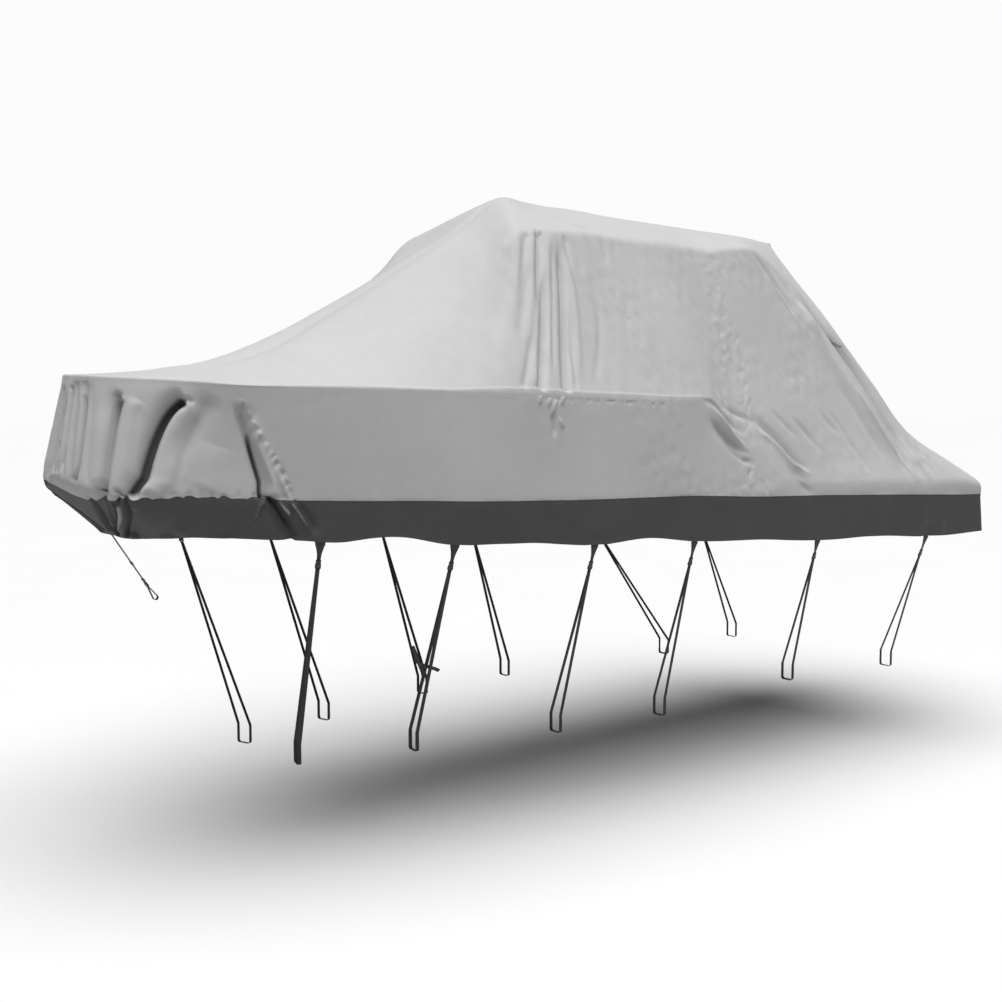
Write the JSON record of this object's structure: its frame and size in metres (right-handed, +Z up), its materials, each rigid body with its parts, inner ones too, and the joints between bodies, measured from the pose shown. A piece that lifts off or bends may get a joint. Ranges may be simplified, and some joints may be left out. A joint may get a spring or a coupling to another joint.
{
  "type": "boat cover",
  "caption": "Fitted fabric cover for a centre-console boat with a hard top, with a dark skirt band and webbing tie-down loops.",
  "frame": {"origin": "hold point on the centreline at the underside of the roof cloth, 4.05 m aft of the foremost cloth", "axes": "+X runs aft along the centreline, +Y to starboard, +Z up"},
  "size_m": [7.3832, 2.4966, 3.5547],
  "materials": {
    "light_cloth": "matt light grey coated polyester",
    "dark_cloth": "matt charcoal coated polyester",
    "webbing": "black woven polyester webbing",
    "buckle_plastic": "satin black moulded plastic"
  },
  "bodies": {
    "root": {"top_panel": "light_cloth", "bow_panel": "light_cloth", "side_panel_port": "light_cloth", "side_panel_starboard": "light_cloth", "mid_panel": "light_cloth", "aft_panel": "light_cloth", "bow_skirt": "dark_cloth", "side_skirt_port": "dark_cloth", "side_skirt_starboard": "dark_cloth", "stern_skirt": "dark_cloth", "tie_1_port_tab": "webbing", "tie_1_starboard_tab": "webbing", "tie_2_port_tab": "webbing", "tie_2_starboard_tab": "webbing", "tie_3_port_tab": "webbing", "tie_3_starboard_tab": "webbing", "tie_4_port_tab": "webbing", "tie_4_starboard_tab": "webbing", "tie_5_port_tab": "webbing", "tie_5_starboard_tab": "webbing", "tie_6_port_tab": "webbing", "tie_6_starboard_tab": "webbing", "tie_bow_tab": "webbing", "tie_bow_run": "webbing", "tie_1_port_loop": "webbing", "tie_1_starboard_loop": "webbing", "tie_2_port_loop": "webbing", "tie_2_starboard_loop": "webbing", "tie_3_port_loop": "webbing", "tie_3_starboard_loop": "webbing", "tie_4_port_loop": "webbing", "tie_4_starboard_loop": "webbing", "tie_5_port_loop": "webbing", "tie_5_starboard_loop": "webbing", "tie_6_port_loop": "webbing", "tie_6_starboard_loop": "webbing", "tie_bow_loop": "webbing", "tie_2_port_tail": "webbing", "tie_1_port_buckle": "buckle_plastic", "tie_1_starboard_buckle": "buckle_plastic", "tie_2_port_buckle": "buckle_plastic", "tie_2_starboard_buckle": "buckle_plastic", "tie_3_port_buckle": "buckle_plastic", "tie_3_starboard_buckle": "buckle_plastic", "tie_4_port_buckle": "buckle_plastic", "tie_4_starboard_buckle": "buckle_plastic", "tie_5_port_buckle": "buckle_plastic", "tie_5_starboard_buckle": "buckle_plastic", "tie_6_port_buckle": "buckle_plastic", "tie_6_starboard_buckle": "buckle_plastic", "tie_bow_buckle": "buckle_plastic", "tie_bow_slider": "buckle_plastic"}
  },
  "joints": []
}
